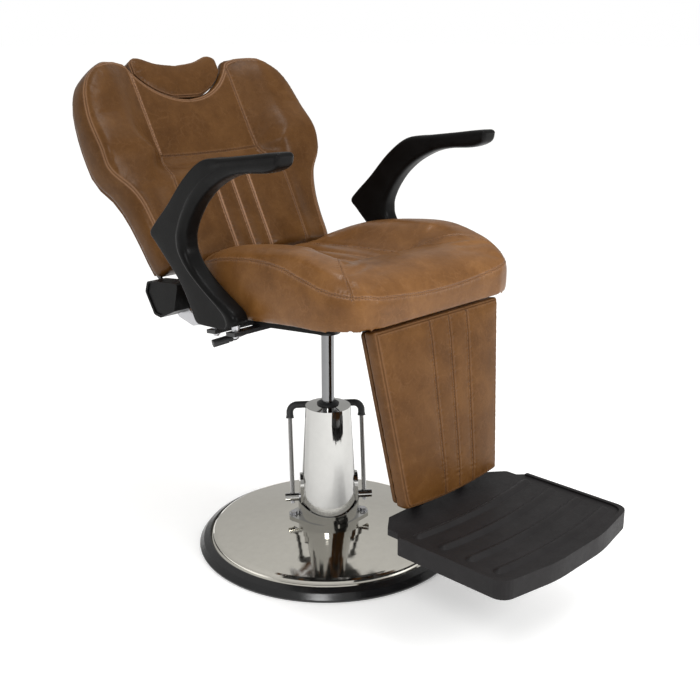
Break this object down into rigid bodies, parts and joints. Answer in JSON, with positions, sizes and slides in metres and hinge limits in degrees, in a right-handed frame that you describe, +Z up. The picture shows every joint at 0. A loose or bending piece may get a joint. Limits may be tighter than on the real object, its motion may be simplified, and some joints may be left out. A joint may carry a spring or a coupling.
{
  "type": "barber chair",
  "caption": "Hydraulic barber chair: leather-covered seat on a chromed pump column and round base, reclining back linked to a legrest with footplate, sliding headrest, curved arms.",
  "frame": {"origin": "on the floor, on the axis of the lift column", "axes": "+Z up; -Y is where the sitter faces, so the footplate is at -Y and the backrest at +Y; -X is the sitter's right"},
  "size_m": [0.6692, 1.28, 1.1229],
  "materials": {
    "chrome": "polished",
    "zinc_steel": "satin",
    "black_paint": "satin",
    "cast_iron": "matte",
    "ring_rubber": "gloss",
    "black_rubber": "matte",
    "brass": "satin",
    "black_board": "matte",
    "wrapped_board": "satin",
    "tan_leather": "satin",
    "brown_leather": "satin",
    "arm_plastic": "satin",
    "foot_plastic": "matte",
    "black_plastic": "satin"
  },
  "bodies": {
    "base": {"base_plate": "chrome", "base_ring": "ring_rubber", "base_ballast": "cast_iron", "pump_flange": "chrome", "flange_bolts": "zinc_steel", "pump_body": "zinc_steel", "oil_tank": "zinc_steel", "gland_nut": "brass", "column_cover": "chrome", "wiper_ring": "black_rubber"},
    "pump_lever": {"lever_shaft": "zinc_steel", "lever_hubs": "chrome", "lever_bar": "chrome", "lever_sleeve": "black_rubber", "lever_screws": "zinc_steel", "lever_cam": "zinc_steel"},
    "plunger": {"pump_plunger": "zinc_steel"},
    "piston": {"piston_rod": "chrome", "piston_head": "zinc_steel", "piston_seal": "black_rubber"},
    "seat": {"seat_mount": "black_paint", "thrust_washer": "brass", "mount_bolts": "zinc_steel", "seat_frame": "black_paint", "seat_board": "black_board", "seat_cushion": "tan_leather", "hinge_plate_right": "zinc_steel", "hinge_plate_left": "zinc_steel", "leg_brackets": "black_paint", "leg_pin": "zinc_steel", "arm_bars": "black_paint", "arm_spacers": "zinc_steel", "arm_bolts": "zinc_steel", "armrest_right": "arm_plastic", "armrest_left": "arm_plastic", "strut_cylinder": "black_paint", "handle_bracket": "black_paint"},
    "strut": {"strut_rod": "chrome"},
    "recline_lever": {"recline_rod": "black_paint", "recline_grip": "black_rubber"},
    "backrest": {"back_cushion": "tan_leather", "back_panel": "brown_leather", "back_arm_right": "black_paint", "back_arm_left": "black_paint", "back_bolts": "zinc_steel", "hinge_shaft": "zinc_steel", "hinge_cover_right": "black_plastic", "hinge_cover_left": "black_plastic", "guide_plate": "zinc_steel"},
    "headrest": {"headrest_pad": "tan_leather", "headrest_bar": "chrome"},
    "link": {"link_rod": "zinc_steel"},
    "legrest": {"leg_pad": "tan_leather", "leg_board": "wrapped_board", "leg_frame": "black_paint", "leg_bolts": "zinc_steel", "foot_bolts": "zinc_steel", "footplate": "foot_plastic"}
  },
  "joints": [
    {"name": "lift", "type": "slide", "parent": "base", "child": "piston", "axis": [0, 0, 1], "range_m": [-0.15, 0.01]},
    {"name": "swivel", "type": "hinge", "parent": "piston", "child": "seat", "pos_m": [0, 0, 0.535], "axis": [0, 0, 1], "continuous": true},
    {"name": "recline", "type": "hinge", "parent": "seat", "child": "backrest", "pos_m": [0, 0.25, 0.608], "axis": [-1, 0, 0], "range_deg": [0, 45]},
    {"name": "legrest_lift", "type": "hinge", "parent": "seat", "child": "legrest", "pos_m": [0, -0.28606, 0.5749], "axis": [-1, 0, 0], "range_deg": [0, 45]},
    {"name": "link_pivot", "type": "hinge", "parent": "backrest", "child": "link", "pos_m": [0.055, 0.27296, 0.55257], "axis": [-1, 0, 0], "range_deg": [-45, 0]},
    {"name": "strut_slide", "type": "slide", "parent": "seat", "child": "strut", "axis": [0, -1, 0], "range_m": [0, 0.048]},
    {"name": "headrest_slide", "type": "slide", "parent": "backrest", "child": "headrest", "axis": [0, 0.4924, 0.8704], "range_m": [0, 0.1]},
    {"name": "pump_lever_hinge", "type": "hinge", "parent": "base", "child": "pump_lever", "pos_m": [0, 0, 0.111], "axis": [-0.7771, 0.6293, 0], "range_deg": [0, 55], "stiffness_Nm_per_rad": 2.5, "springref_deg": -22.92},
    {"name": "plunger_slide", "type": "slide", "parent": "base", "child": "plunger", "axis": [0, 0, -1], "range_m": [0, 0.015]},
    {"name": "recline_lever_hinge", "type": "hinge", "parent": "seat", "child": "recline_lever", "pos_m": [-0.128, 0.002, 0.574], "axis": [0, 1, 0], "range_deg": [0, 4], "stiffness_Nm_per_rad": 3, "springref_deg": -2.86}
  ],
  "couplings": [
    {"joint": "legrest_lift", "follows": "recline", "ratio": 1},
    {"joint": "link_pivot", "follows": "recline", "ratio": -1},
    {"joint": "strut_slide", "follows": "recline", "m_per_rad": 0.060878},
    {"joint": "plunger_slide", "follows": "pump_lever_hinge", "m_per_rad": 0.0156}
  ]
}
